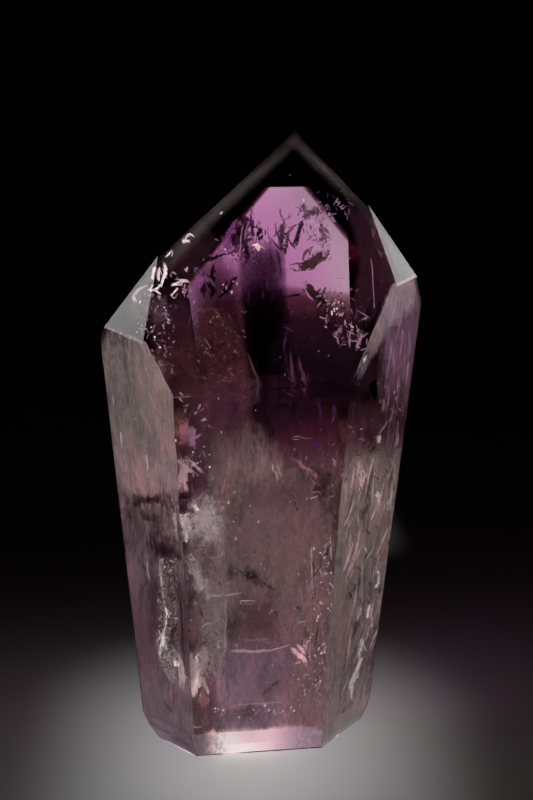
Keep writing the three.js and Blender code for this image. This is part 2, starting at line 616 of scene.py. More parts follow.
class InclusionSettings(bpy.types.PropertyGroup):
    # Silver paints the light that fractures and specks mirror
    silver: swatch("Silver", "Bright fractures that mirror the light", (0.85, 0.82, 0.80))
    # Smoke is the colour of the dark feathers, and of the crown's dark haze, which is painted shade
    smoke: swatch("Smoke", "Dark feathers and the smoky band", (0.012, 0.006, 0.010))
    plum: swatch("Plum", "Dark purple zones", (0.055, 0.015, 0.045))
    violet: swatch("Violet", "Violet zones of the crown", (0.16, 0.045, 0.18))
    lilac: swatch("Lilac", "Pale lilac flakes", (0.55, 0.36, 0.52))
    pink: swatch("Pink", "Pink flakes and cracks", (0.62, 0.30, 0.34))
    blush: swatch("Blush", "Pink-white fractures", (0.80, 0.60, 0.64))
    milk: swatch("Milk", "Pinkish grey cloud", (0.36, 0.23, 0.225))
    ash: swatch("Ash", "Grey veils", (0.42, 0.36, 0.36))
    umber: swatch("Umber", "Brown phantom and stains", (0.085, 0.045, 0.035))
    rust: swatch("Rust", "Iron stains", (0.42, 0.22, 0.15))
    mauve: swatch("Mauve", "Haze of the middle", (0.40, 0.325, 0.295))
    opal: swatch("Opal", "Brightest haze, at the top of the right side", (0.52, 0.40, 0.45))
    pearl: swatch("Pearl", "Pale grey haze", (0.42, 0.30, 0.31))
    stone_grey: swatch("Stone grey", "Greenish grey haze of the left side", (0.32, 0.26, 0.25))
    mist: swatch("Mist", "Lilac haze of the foot", (0.44, 0.33, 0.41))
    heather: swatch("Heather", "Purple-grey haze", (0.25, 0.175, 0.20))
    fog: swatch("Fog", "Dim purple-grey haze of the left side", (0.17, 0.098, 0.125))
    orchid: swatch("Orchid", "Clear violet of the crown's left side", (0.36, 0.14, 0.36))
    iris: swatch("Iris", "Violet haze of the right side", (0.30, 0.165, 0.25))
    clay: swatch("Clay", "Brown-pink haze under the crown", (0.15, 0.070, 0.095))
    bark: swatch("Bark", "Dark brown haze", (0.071, 0.026, 0.030))
    dusk: swatch("Dusk", "Nearly black purple haze", (0.045, 0.015, 0.026))


class StageSettings(bpy.types.PropertyGroup):
    floor_color: swatch("Floor", "Colour of the floor", (0.55, 0.55, 0.55))


# The tables of strokes. A row gives a stroke's window, its depth, its tones from its first point
# to its last, how dense it is, and its points.

# Fractures, with the light that they mirror painted as a pale colour that glows
SILVER_FRACTURES = (
    ("crown", 0.6, "silver", 1, (
        (184.6, 240.7, 1), (186.4, 237.1, 2), (188.7, 233.6, 2.4), (191.8, 234.5, 2), (194.9, 238, 1))),
    ("crown", 0.6, "silver", 1, ((182, 240, 2), (186, 241, 3.5), (191.5, 241.6, 1))),
    ("crown", 0.6, "silver", 1, ((173, 248.8, 1.2), (169.5, 254.1, 2.2), (164.6, 257.7, 1))),
    ("crown", 3, "silver", 1, (
        (163.7, 260.4, 1), (165.9, 268.4, 2.6), (165.9, 273.8, 2.6), (162.8, 280.9, 2.6),
        (161.9, 286.3, 1.4))),
    ("crown", 3, "silver", 1, ((160, 265.7, 1), (159.2, 276.4, 2), (159.6, 281, 1))),
    ("crown", 3, "silver", 1, (
        (149.8, 288.5, 1.2), (156, 289.8, 2.8), (161, 284.5, 2), (162.5, 287, 1.2))),
    ("crown", 3, "silver", 1, ((155, 288.8, 1.5), (158, 291.5, 2), (161.4, 294.3, 1.2))),
    ("crown", 4, "silver", 1, (
        (169.5, 286.3, 1.4), (175.7, 283.6, 3), (184.6, 280, 3), (190.9, 282.7, 1))),
    ("crown", 4, "silver", 0.8, ((179.3, 287, 1), (174.8, 291.6, 1.6), (170.8, 296, 0.8))),
    ("crown", 6, "silver", 1, ((257, 243, 2.4), (258.5, 247, 4.6), (260, 251, 2))),
    ("crown", 6, "silver", 1, ((194.5, 271, 1), (197, 269.3, 2.2), (198.9, 265.7, 1))),
    ("crown", 5, "silver", 0.9, ((215.4, 238.5, 1), (217, 239.4, 1.8), (218.6, 240.3, 1))),
    ("crown", 4, "silver", 0.8, ((220.8, 214.8, 0.8), (222, 213, 1.6), (223.5, 211.3, 0.8))),
    ("front", 3, "silver ash silver", 0.9, (
        (178, 516, 3), (184, 519, 9), (187, 526, 10), (187, 534, 6), (186, 543, 1))),
    ("front", 3, "silver", 0.8, ((194.5, 502, 2), (196.5, 507, 5), (198, 512, 2))),
    ("front", 3, "silver", 0.7, ((182.5, 515, 1), (187, 514.5, 1.6), (191.5, 511.5, 1))),
    ("front", 4, "silver", 1, ((197, 652, 2), (197.6, 666, 4), (195.6, 682, 3), (194, 690, 1))),
    ("front", 4, "ash ash silver", 0.85, ((191, 650, 10), (194, 667, 17), (195, 683, 13), (192, 697, 3))),
    ("front", 5, "ash", 0.6, ((204, 642, 8), (205, 660, 12), (202, 680, 8))),
    ("left", 1.2, "silver", 1, ((174, 659, 2), (175, 662.5, 4), (173, 666, 2))),
    ("left", 1.2, "silver", 0.9, ((164.5, 606, 1.6), (166, 613, 3.4), (165, 619, 1.4))),
    ("left", 1.2, "silver", 0.8, ((162, 630, 2), (163.5, 640, 4.5), (162, 652, 2))),
    ("left", 1.2, "silver", 0.6, (
        (158.8, 554, 1.2), (161, 580, 1.8), (163.2, 601, 1.8), (165.9, 617, 2.2), (163, 640, 2.2),
        (160, 652, 2), (159.5, 669, 1.2))),
    ("right", 1.2, "silver", 1, ((376.7, 491, 6), (377, 501, 5), (374.5, 512, 2.5), (369.6, 521, 1.6))),
    ("right", 1.2, "silver", 1, ((379.4, 570, 3), (378, 580, 4.4), (375.5, 589.5, 1.6))),
    ("right", 1.2, "silver", 0.8, ((369, 603, 1.6), (368, 612, 3), (366.5, 620, 1.4))),
    ("right", 1.2, "silver", 0.8, ((372.4, 616, 1.2), (371.6, 628, 1.4))),
    ("right", 1.2, "silver", 0.7, ((362.4, 636, 2), (360, 648, 5), (357, 658, 3))),
    ("front", 5, "blush", 1, ((289, 646, 2), (295, 652, 5), (301, 658, 5), (308, 665, 1.6))),
    ("front", 5, "blush", 0.8, ((296, 644, 1.6), (301, 650, 3.4), (306, 656, 1.4))),
    ("front bevel", 1.5, "silver", 1, ((307, 736, 2), (311, 732, 4), (316, 733, 2))),
    ("left crown", 3, "silver", 0.7, ((150, 285, 1.5), (141, 289, 2.6), (133, 295, 4), (136, 303, 2))),
)

# Dark feathers, cracks and blades
DARK_FEATHERS = (
    ("front", 4, "plum", 0.8, ((260, 699, 0.5), (265, 692.5, 1.6), (271, 686.5, 2.2), (280, 678.4, 0.5))),
    ("crown", 8, "smoke", 0.95, (
        (203, 263, 1), (207, 260, 2.4), (215, 258, 2.6), (225, 254, 2.4), (232, 252.5, 1))),
    ("crown", 9, "plum", 0.95, (
        (257, 202, 1.5), (249, 214, 7), (244, 229, 11), (240, 243, 11), (238, 256, 8), (236, 266, 2))),
    ("crown", 8, "umber", 0.9, ((205, 270, 1.5), (205, 284, 3.4), (205, 297, 1.5))),
    ("crown", 8, "smoke", 0.9, ((215, 262, 1.5), (213.5, 275, 3.2), (214.5, 290, 3), (211, 300, 1))),
    ("crown", 6, "smoke", 0.95, (
        (243, 270, 1), (236, 279, 3.2), (230, 287, 3.6), (222, 294, 3.2), (214, 303, 1))),
    ("crown", 9, "smoke", 0.95, ((259.5, 223, 2), (261, 233, 4.8), (263, 243, 2))),
    ("crown", 7, "umber", 0.9, (
        (291, 213, 2), (285.5, 224, 5), (282, 237, 6), (283.5, 247, 5), (286, 255, 2))),
    ("crown", 7, "umber", 0.8, ((289.5, 232, 1), (287.5, 244, 2), (286, 255, 1))),
    ("crown", 6, "umber", 0.7, ((281.3, 207, 0.8), (281, 213, 1.2), (283, 219, 0.8))),
    ("crown", 6, "smoke", 0.95, ((303, 218, 2), (300.5, 226.4, 4), (297.9, 237.1, 4.2), (294, 247, 1.5))),
    ("crown", 6, "plum heather plum", 0.7, (
        (301, 222, 2), (308.6, 214.8, 6), (317.5, 211.3, 6), (325, 216, 2))),
    ("crown", 6, "plum heather plum", 0.8, (
        (320, 222, 2), (322, 230, 4), (322.9, 238, 4.4), (319, 247, 2))),
    ("crown", 6, "umber", 0.95, (
        (328, 249, 3), (321, 256, 8), (310.4, 263, 7.5), (299.6, 268.4, 5), (287, 271, 1.5))),
    ("crown", 6, "umber", 0.95, ((304, 281, 2), (312, 291.6, 6.5), (319.3, 300.5, 6), (328, 303, 1.5))),
    ("crown", 6, "smoke", 0.8, ((285.4, 297, 0.8), (294, 295.4, 1.4), (303.2, 294.3, 0.8))),
)

# Painted shade: dark sheets where the lower stone looks dark, along its cracks, blades and hollows,
# softened by the haze
SHADOWS = (
    ("front", 3, "dusk", 0.9, ((168, 405, 12), (180, 405, 14), (194, 404, 9))),
    ("front", 3, "dusk", 0.9, ((171, 494, 5), (181, 496, 9), (188, 498, 8), (195, 502, 4))),
    ("front", 3, "plum", 0.8, ((168, 508, 7), (180, 508, 11), (193, 508, 7))),
    ("front", 4, "bark", 0.85, ((181, 533, 10), (184, 545, 16), (190, 554, 8))),
    ("left", 1.2, "dusk", 0.95, (
        (122, 496, 6), (136, 500, 13), (150, 500, 12), (164, 500, 15), (178, 502, 12))),
    ("left", 1.2, "dusk", 0.8, ((139, 502, 3), (145, 516, 7), (152, 520, 7), (158, 510, 3))),
    ("left", 1, "dusk", 0.95, ((148, 532, 16), (160, 545, 30), (168, 556, 26), (176, 566, 12))),
    ("left", 1.2, "dusk", 0.6, (
        (179.3, 562, 2.5), (181, 600, 4), (183, 640, 5), (185, 672, 4), (186.5, 686, 1.5))),
    ("left", 1.2, "bark", 0.5, ((155, 558, 6), (152, 590, 12), (154, 620, 13), (157, 655, 8))),
    ("left", 1.2, "plum", 0.7, ((160, 696, 1), (167, 706, 2.6), (175, 715, 1.6))),
    ("front", 5, "bark", 0.8, ((193, 566, 7), (192, 590, 13), (190, 612, 13), (191, 627, 8))),
    ("front", 3, "dusk", 0.75, ((175, 627, 2), (186, 629.5, 3.4), (197, 630.5, 2))),
    ("front", 4, "bark", 0.8, ((192, 632, 12), (192, 645, 14), (188, 657, 6))),
    ("front", 4, "dusk", 0.9, ((242, 564, 6), (248, 573, 17), (256, 580, 15), (266, 589, 7))),
    ("front", 9, "plum", 0.7, ((226, 560, 6), (233, 572, 16), (232, 585, 12))),
    ("front", 9, "plum", 0.7, ((230, 606, 8), (234, 625, 17), (233, 640, 14), (230, 650, 6))),
    ("front", 5, "bark", 0.8, ((314, 468, 8), (324, 480, 20), (320, 492, 16), (308, 498, 6))),
    ("front", 4, "dusk", 0.6, ((318, 470.5, 0.8), (322, 468, 1.4), (326.5, 467, 0.8))),
    ("front", 5, "dusk", 0.75, ((292, 421, 1), (303, 418, 2.4), (314, 415, 1))),
    ("front", 4, "dusk", 0.8, ((334.5, 617, 2), (334.5, 632, 3.4), (333.5, 647, 2))),
    ("front", 4, "plum", 0.7, ((331, 671, 3), (329.5, 688, 6), (328, 706, 4))),
    ("front", 4, "dusk", 0.95, ((296, 606.5, 1), (297.7, 607.9, 2.6), (299.5, 609.4, 1))),
    ("front", 5, "bark", 0.8, ((276, 609, 2), (276.5, 614, 4.5), (276.5, 619, 2))),
    ("right", 1.2, "dusk", 0.72, ((365, 431.5, 1.5), (369, 437, 4), (375, 439, 1.5))),
    ("right", 1.2, "dusk", 0.72, ((378.5, 444, 1.5), (374, 448.5, 4), (369, 452.5, 1.5))),
    ("right", 1.2, "dusk", 0.68, ((379, 396, 6), (380, 410, 7), (380, 426, 3))),
    ("right", 1.2, "dusk", 0.56, ((360, 408, 1.5), (356.5, 418, 4), (357.5, 428, 1.5))),
    ("right", 1.2, "bark", 0.56, ((348, 455.6, 0.8), (358, 455, 1.6), (368, 453.5, 0.8))),
    ("right", 1.2, "bark", 0.68, ((369, 490, 5), (368, 502, 8), (362, 514, 9), (354, 526, 6))),
    ("right", 1.2, "bark", 0.64, ((372, 545, 2), (366, 556, 4), (362, 566, 2))),
    ("right", 1.2, "bark", 0.68, ((364, 575, 3), (355, 588, 6.5), (345, 602, 4))),
    ("right", 1.2, "bark", 0.64, ((358, 610, 4), (356, 626, 6.5), (354, 643, 3))),
    ("right", 1.2, "bark", 0.64, ((350, 664, 2), (346, 671, 4.5), (342, 678, 2))),
    ("right", 0.8, "dusk", 0.76, ((369, 581, 1.5), (370.8, 584, 4.4), (372.5, 588, 1.5))),
    ("right", 0.8, "dusk", 0.76, ((354, 647, 1.2), (355.3, 649.2, 3.4), (356.4, 651.6, 1.2))),
    ("right", 1.2, "dusk", 0.56, ((386, 509, 3), (388, 518, 6), (386, 530, 3))),
)

# Pink and lilac flakes, cracks and patches
PINK_FLAKES = (
    ("crown", 12, "orchid", 0.95, (
        (206, 267, 3), (219, 256, 16), (231, 243, 22), (241, 231, 20), (250, 219, 12), (256, 209, 3))),
    ("crown", 5, "orchid", 0.6, ((196, 266, 4), (200, 276, 14), (199, 290, 8))),
    ("crown", 8, "lilac", 0.85, ((299.5, 228, 0.6), (300.5, 233.6, 1.6), (299, 239, 0.6))),
    ("crown", 9, "lilac", 0.85, ((316, 208, 6), (321, 215, 17), (326, 223, 8))),
    ("crown", 6, "blush", 0.8, ((335, 278, 0.8), (340, 278.6, 1.6), (346, 279, 0.8))),
    ("crown", 5, "blush", 0.8, ((288, 267, 1), (292, 266.4, 2.2), (297, 264.5, 1))),
    ("crown", 5, "lilac", 0.9, ((304, 285, 0.8), (306, 291, 2.4), (309.5, 297, 2.4), (315.5, 302, 1))),
    ("crown", 6, "lilac", 0.8, ((245, 222, 1), (242, 236, 2), (241, 250, 1.4), (238, 262, 0.8))),
    ("crown", 6, "lilac", 0.7, ((250, 218, 0.8), (247, 232, 1.6), (244, 246, 0.8))),
    ("crown", 6, "lilac", 0.85, ((190.9, 286, 1), (190, 292.5, 1.8), (189.6, 299, 1))),
    ("crown", 5, "plum clay plum", 0.7, ((288, 345, 2), (291, 368, 5), (293, 392, 3))),
    ("crown", 5, "plum clay plum", 0.7, ((296, 352, 2), (302, 374, 6), (308, 394, 3))),
    ("crown", 5, "violet plum", 0.4, ((286, 320, 3), (284, 345, 5), (286, 380, 3))),
    ("crown", 6, "lilac", 0.85, ((331, 339, 1.5), (337, 331.5, 7), (344, 324, 2))),
    ("crown", 6, "lilac", 0.85, ((350.5, 326, 1), (349, 335, 3.4), (346.5, 344, 1))),
    ("crown", 6, "lilac", 0.8, ((362.5, 328, 1), (359, 340, 4.6), (353.5, 352, 1))),
    ("crown", 5, "pink", 0.9, ((347.9, 292.5, 1), (350, 290, 2.6), (352.5, 287.8, 1))),
    ("crown", 5, "pink", 0.9, ((354, 292.5, 0.8), (356.5, 290.5, 1.8), (359.4, 288.8, 0.8))),
    ("crown", 4, "pink", 0.9, ((379, 279, 1), (380, 280.4, 2.4), (381, 282, 1))),
    ("front", 4, "lilac", 0.7, ((190, 423, 5), (191, 431, 13), (192, 441, 11), (194, 450, 3))),
    ("front", 3, "blush", 0.85, ((184, 454, 9), (184, 465, 17), (184, 478, 17), (181, 492, 11))),
    ("front", 4, "clay pink clay", 0.6, ((184, 414, 8), (184, 430, 17), (184, 449, 12))),
    ("front", 3, "pink", 0.85, (
        (289, 458, 2), (297, 460.5, 5), (305.3, 468.5, 6), (314, 474.5, 6.5), (317, 483, 2))),
    ("front", 2, "blush", 0.95, ((310, 479, 0.8), (313, 481.5, 2.4), (315.4, 485, 0.8))),
    ("front", 6, "lilac", 0.6, ((289, 440, 1), (297, 436.8, 2.6), (305, 438.9, 2), (314, 438.9, 0.8))),
    ("front", 5, "silver", 0.7, ((291, 440.5, 0.6), (296.5, 439.6, 1.2), (302, 441, 0.6))),
    ("front", 7, "violet", 0.8, ((310, 442, 4), (316, 445.5, 9), (323, 450, 3))),
    ("front", 8, "violet", 0.4, ((333, 402, 2), (334, 412, 6), (333, 423, 2))),
    ("front", 8, "violet", 0.35, ((318, 396, 2), (320, 412, 5), (321, 428, 2))),
    ("front", 6, "pink", 0.6, ((226, 474, 1), (224.8, 484, 3), (221.5, 495, 1))),
    ("front", 6, "clay pink clay", 0.5, ((197, 684, 3), (202, 692, 12), (203, 704, 10), (204, 713, 3))),
    ("left", 1.2, "pink", 0.35, ((170, 674, 1.5), (170.5, 690, 3.4), (171.5, 705, 1))),
    ("front", 6, "lilac", 0.6, ((220.5, 655, 2), (220.5, 668, 5), (218, 684, 5), (217, 698, 2))),
    ("front", 4, "lilac", 0.7, ((224, 584.5, 1), (228, 583.5, 2.6), (231, 582, 1))),
    ("front", 6, "pink", 0.8, ((300, 660, 1.5), (305, 667, 3), (309, 673, 1))),
    ("front", 6, "pink", 0.5, ((289, 660, 1.5), (292.5, 663, 3.4), (296, 667, 1))),
    ("front", 2, "blush", 0.9, ((314, 737.5, 1), (317.5, 737.5, 2.6), (321.5, 739, 1))),
    ("right", 1.6, "blush", 0.75, ((357, 456, 9), (357, 468, 17), (357, 480, 15), (357, 492, 5))),
    ("right", 0.8, "silver", 0.45, ((356.3, 464, 0.8), (353.3, 476.6, 1.8), (354.3, 488, 0.8))),
    ("right", 0.8, "silver", 0.45, ((363.5, 464, 0.8), (364.5, 476.6, 1.8), (361.4, 488, 0.8))),
    ("right", 0.8, "pink", 0.9, ((376, 437, 1), (381, 431, 1.8), (386, 425, 1.6), (388, 417, 0.8))),
    ("right", 0.8, "rust", 0.9, ((385, 395, 5), (384, 405, 5.5), (383, 416, 3))),
    ("right", 0.8, "blush", 0.95, ((379, 434, 2), (379.5, 438.5, 5.5), (378, 444.5, 2))),
    ("right", 1.2, "lilac", 0.7, ((409, 358, 1.6), (407, 376, 3), (405, 396, 1.6))),
)

# Long light lines: healed cracks seen edge-on, with the light that they catch painted as a pale colour
# that glows
LIGHT_LINES = (
    ("crown", 3, "silver", 0.5, ((370.2, 258.6, 0.7), (372, 269.3, 0.9), (373.8, 309.5, 0.7))),
    ("crown", 4, "silver", 0.6, ((355, 309.6, 0.7), (362, 314, 1.2), (370, 318.6, 0.7))),
    ("crown", 5, "heather", 0.45, (
        (187, 331, 0.8), (190, 320, 1.6), (193, 311, 1.6), (205, 310, 1.4), (213, 308, 1.4),
        (218, 313, 1.6), (226, 326, 0.8))),
    ("crown", 5, "milk", 0.5, ((204, 336, 0.8), (207, 341, 2), (211, 346.5, 0.8))),
    ("crown", 5, "milk", 0.5, ((202, 354, 0.8), (206, 350.5, 2), (210, 354, 2), (214, 361, 0.8))),
    ("crown", 5, "ash", 0.25, ((247, 350, 0.8), (252, 366, 2), (257, 380, 2), (256, 395, 1))),
    ("front", 1.5, "blush", 0.4, ((169, 397.6, 0.7), (181, 397, 1), (193, 396.4, 0.7))),
    ("front", 5, "silver", 0.6, ((272.3, 463, 0.6), (273, 468, 1.6), (274, 473, 0.6))),
    ("front", 5, "silver", 0.6, ((275, 470, 0.6), (276.4, 475, 1.6), (278, 480, 0.6))),
    ("front", 5, "silver", 0.6, ((277.6, 464, 0.6), (279.2, 470, 1.6), (281.5, 477, 0.6))),
    ("front", 4, "silver", 0.6, ((308, 499, 0.6), (313.5, 498, 1.6), (319, 495.6, 0.6))),
    ("front", 4, "blush", 0.5, ((311, 493.4, 0.6), (316.5, 492, 1.4), (322, 492.6, 0.6))),
    ("front", 4, "blush", 0.8, ((239, 600.8, 0.7), (247, 600.6, 2), (256, 600.9, 0.7))),
    ("front", 4, "pink", 0.5, ((240, 604.2, 0.6), (247, 604, 1.2), (255, 604.4, 0.6))),
    ("front", 4, "blush", 0.5, ((206, 594, 1), (222, 595.6, 3), (246, 592, 1))),
    ("front", 5, "blush", 0.35, ((242, 640.6, 0.8), (255, 640, 1.8), (270, 639, 0.8))),
    ("front", 5, "blush", 0.6, (
        (227, 649.4, 1.6), (240, 651, 4.6), (256, 651.4, 4.4), (272, 650, 2.4), (290, 645, 1))),
    ("front", 5, "pink", 0.5, ((252, 637, 0.6), (262, 642, 1.2), (276, 643, 0.6))),
    ("front", 4, "blush", 0.4, ((226, 706, 1), (250, 704, 2), (284, 702, 1))),
    ("front", 4, "silver", 0.3, ((206, 555, 0.8), (213, 558, 1.6), (221, 555.6, 1.6), (225, 551, 0.8))),
    ("front", 4, "silver", 0.45, ((201.4, 628, 0.8), (207, 623.3, 2), (214, 623.6, 0.8))),
    ("front", 4, "silver", 0.35, (
        (227.4, 594, 0.8), (225.4, 608, 1.4), (226.4, 620, 1.4), (225, 632, 1.4), (225.4, 648, 1.2),
        (222, 658, 0.8))),
    ("front", 4, "silver", 0.3, ((217, 650, 0.8), (218, 642, 1.6), (223, 640.4, 1.6), (225, 645, 0.8))),
    ("front", 3, "blush", 0.6, ((190.6, 722, 0.8), (196, 727, 1.8), (203.5, 725.4, 0.8))),
    ("front", 5, "silver", 0.8, (
        (328.6, 583, 0.8), (333, 588, 2.2), (334.4, 596, 2.4), (335.4, 606, 0.8))),
    ("front", 5, "silver", 0.6, ((329.8, 537, 1), (330.6, 549, 1.8), (330.8, 561, 0.8))),
    ("front", 5, "silver", 0.7, ((322.5, 548.5, 0.6), (324.4, 546, 1.4), (326.5, 543.6, 0.6))),
    ("front", 5, "silver", 0.6, ((316.5, 565, 0.6), (319.5, 572, 1), (322.4, 578.6, 0.8))),
    ("front", 5, "silver", 0.6, ((334, 645, 0.6), (336, 651, 1.6), (337, 657, 0.6))),
    ("front", 4, "silver", 0.9, ((272, 664, 0.4), (272.6, 666, 0.8), (273, 668, 0.4))),
    ("right", 1.2, "blush", 0.5, ((354, 540, 1), (349, 556, 4), (343, 573, 1))),
    ("right", 1.2, "blush", 0.4, ((359, 540, 1), (354, 556, 3.4), (348, 574, 1))),
    ("right", 1.2, "silver", 0.3, ((375.7, 547, 0.8), (369, 555, 1.6), (362.4, 565, 0.8))),
    ("right", 1.2, "silver", 0.4, ((350.7, 513, 0.6), (347, 520, 1.6), (344, 526, 0.6))),
    ("right", 1.2, "blush", 0.4, ((355, 516, 0.6), (350.5, 523, 1.4), (347, 529, 0.6))),
    ("right", 1.2, "silver", 0.7, ((362, 658, 2), (357, 670, 6), (352, 683, 7), (351, 700, 3))),
    ("left", 1.2, "silver", 0.5, ((147, 559, 0.8), (148, 572, 2), (150.5, 585, 0.8))),
    ("left", 1.2, "silver", 0.5, ((121, 430, 1), (121.6, 440, 2.4), (122, 451, 1))),
    ("left", 1.2, "silver", 0.5, ((146, 454, 1), (147, 462, 2.6), (148, 471, 1))),
    ("left", 1.2, "silver", 0.4, ((112.4, 394, 1), (113.4, 400, 2.4), (114, 406, 1))),
)

# The broad haze of the lower stone, and the dark haze of the crown, which is painted shade
HAZE = (
    # The crown's rows are dark sheets that paint the shade where the crown looks dark
    ("crown", 9, "bark bark bark clay", 0.9, (
        (205, 298, 20), (216, 330, 48), (222, 365, 64), (226, 400, 76))),
    ("crown", 6, "dusk dusk bark bark", 0.9, (
        (166, 280, 44), (172, 320, 50), (176, 360, 50), (180, 405, 56))),
    ("crown", 5, "dusk dusk dusk", 0.7, ((214, 228, 20), (196, 252, 36), (176, 280, 40))),
    ("crown", 4, "dusk dusk dusk dusk", 0.8, (
        (350, 195, 20), (368, 236, 34), (376, 280, 44), (366, 330, 40))),
    ("crown", 12, "dusk smoke smoke", 0.75, ((306, 308, 60), (304, 356, 84), (302, 404, 90))),
    ("crown", 7, "dusk smoke smoke", 0.85, (
        (336, 306, 50), (338, 350, 66), (336, 395, 74), (334, 430, 74))),
    ("front", 9, "clay clay mauve mauve", 0.95, (
        (220, 380, 80), (220, 425, 80), (232, 465, 106), (250, 510, 120))),
    ("front", 8, "clay clay clay heather clay heather", 0.95, (
        (186, 380, 54), (188, 450, 54), (188, 510, 54), (192, 600, 54), (192, 700, 54), (196, 850, 54))),
    ("front", 11, "dusk dusk clay mauve", 0.95, (
        (302, 380, 100), (302, 415, 104), (304, 450, 104), (304, 500, 100))),
    ("front", 12, "clay mauve mauve", 0.95, ((272, 455, 150), (272, 530, 160), (268, 610, 160))),
    ("front", 11, "mauve mauve pearl mauve", 0.95, (
        (312, 540, 100), (312, 640, 100), (314, 740, 100), (312, 850, 100))),
    ("front", 10, "mauve mauve mist opal mist", 0.95, (
        (246, 530, 90), (250, 600, 92), (252, 670, 90), (252, 740, 88), (250, 850, 88))),
    ("left", 1.5, "pearl stone_grey stone_grey pearl pearl", 0.95, (
        (124, 300, 90), (130, 370, 110), (138, 425, 110), (146, 480, 110), (150, 525, 110))),
    ("left", 1.7, "heather heather fog heather fog fog", 0.95, (
        (146, 470, 110), (150, 560, 110), (156, 630, 110), (164, 700, 110), (172, 790, 110),
        (180, 880, 110))),
    ("right", 1.9, "mist iris iris clay clay", 0.95, (
        (414, 270, 44), (409, 325, 58), (404, 360, 58), (399, 405, 48), (391, 465, 50))),
    ("right", 1.5, "opal opal opal pearl mist", 0.95, (
        (422, 196, 90), (402, 272, 84), (390, 298, 58), (377, 325, 36), (366, 353, 20), (354, 385, 6))),
    ("left arris", 0.8, "fog fog fog", 0.95, ((90, 650, 120), (166, 726, 120), (222, 782, 120))),
    ("left bevel", 0.8, "fog fog heather", 0.95, ((110, 672, 120), (166, 728, 120), (222, 784, 120))),
    ("front arris", 1.2, "heather heather mist mist mist", 0.95, (
        (100, 744, 60), (180, 740, 60), (240, 737, 60), (300, 733, 60), (420, 725, 60))),
    ("right arris", 0.8, "heather stone_grey mauve", 0.95, (
        (282, 784, 120), (348, 718, 120), (402, 664, 120))),
    ("right bevel", 0.8, "heather heather heather", 0.95, (
        (282, 794, 120), (342, 734, 120), (402, 674, 120))),
    ("right", 1.5, "clay clay mauve mauve stone_grey stone_grey", 0.95, (
        (374, 398, 90), (374, 438, 96), (374, 472, 100), (370, 540, 100), (362, 640, 100),
        (340, 900, 100))),
    ("front bevel", 1.2, "heather heather mist mist mist", 0.95, (
        (120, 744, 60), (180, 744, 60), (240, 742, 60), (300, 742, 60), (420, 736, 60))),
)

# Painted sheen: grey sheets that glow stand in for the soft light that the edges of the crown gather
PAINTED_RIM_SHEEN = (
    ("crown", 0.8, "ash", 0.42, (
        (124, 304, 50), (150, 276, 52), (176, 248, 56), (222, 200, 58), (258, 166, 58), (300, 125, 56),
        (344, 82, 56))),
    ("crown", 0.8, "ash", 0.42, (
        (244, 82, 56), (288, 125, 56), (333, 170, 56), (372, 205, 56), (384, 228, 34), (392, 250, 16))),
)

# Painted glow: bright sheets that glow stand in for the light that gathers at the foot
PAINTED_FOOT_GLOW = (
    ("front bevel", 0.7, "silver silver silver blush mist mist", 1, (
        (203, 744, 44), (225, 745, 44), (248, 745, 44), (270, 744, 44), (294, 743, 44), (330, 740, 44))),
    ("front arris", 0.7, "blush silver blush blush mist mist", 0.95, (
        (203, 741, 40), (225, 740, 44), (248, 739, 44), (270, 737, 44), (294, 735, 44), (336, 731, 44))),
    ("front", 0.8, "blush blush blush mist", 0.85, (
        (203, 746, 34), (225, 744, 36), (265, 741, 34), (316, 737, 30))),
)

# Veils and clouds of tiny bubbles
VEILS = (
    ("crown", 14, "violet plum plum dusk", 0.65, (
        (266, 236, 26), (266, 258, 40), (266, 285, 40), (268, 320, 40))),
    ("crown", 5, "heather", 0.5, ((158, 292, 12), (161, 312, 22), (160, 325, 12))),
    ("crown", 5, "heather", 0.5, ((154, 350, 8), (160, 370, 18), (166, 395, 12))),
    ("left crown", 3, "pearl", 0.3, ((152, 262, 10), (136, 290, 30), (120, 322, 40))),
    ("right crown", 3, "pearl", 0.4, ((376, 214, 10), (394, 250, 26), (408, 280, 26))),
    ("front", 5, "ash silver silver ash", 0.9, (
        (196, 488, 14), (203, 508, 32), (206, 532, 42), (204, 566, 36))),
    ("front", 4.5, "ash silver ash", 0.75, (
        (190, 548, 12), (196, 568, 18), (202, 590, 18), (209, 612, 10))),
    ("front", 5, "pearl ash pearl", 0.95, (
        (213, 520, 32), (213, 566, 34), (213, 606, 33), (213, 640, 32), (211, 672, 30), (204, 706, 14))),
    ("left", 1.6, "bark", 0.85, (
        (160, 552, 5), (168, 575, 20), (170, 610, 21), (169, 645, 18), (170, 662, 18))),
    ("left", 1.2, "silver", 0.65, ((168, 646, 18), (174, 664, 22), (181, 680, 16), (188, 696, 4))),
    ("right", 2, "bark", 0.85, ((366, 390, 20), (366, 410, 26), (368, 432, 22), (366, 456, 18))),
    ("right", 1.4, "dusk", 0.85, ((382, 346, 10), (374, 366, 24), (368, 388, 30), (364, 408, 22))),
    ("right", 1.6, "pearl", 0.6, ((380, 480, 20), (382, 505, 24), (380, 545, 20), (374, 600, 16))),
    ("right", 1.2, "pearl", 0.85, ((356, 668, 5), (357, 690, 10), (355, 706, 9), (351, 722, 3))),
    ("front", 8, "heather fog fog heather", 0.8, (
        (256, 580, 56), (256, 606, 58), (256, 636, 58), (255, 664, 56))),
    ("front", 8, "pearl ash pearl", 0.6, ((252, 500, 30), (262, 526, 62), (272, 556, 52))),
    # A soft dark band low on the front is painted shade
    ("front", 3, "heather bark bark heather", 0.55, (
        (206, 716, 10), (230, 714, 18), (255, 712.5, 18), (290, 710, 10))),
)

# A healed fracture that shows as a net of fine light lines
LACE = (
    ("left", 1, "ash", 0.6, ((167, 554, 17), (169, 600, 21), (171, 640, 20), (174, 664, 15))),
    ("left", 0.8, "silver", 0.5, ((160, 630, 8), (163, 650, 14), (168, 668, 14), (176, 684, 6))),
    ("front", 3, "silver", 0.6, ((190, 552, 7), (195, 566, 9), (199, 583, 7))),
)
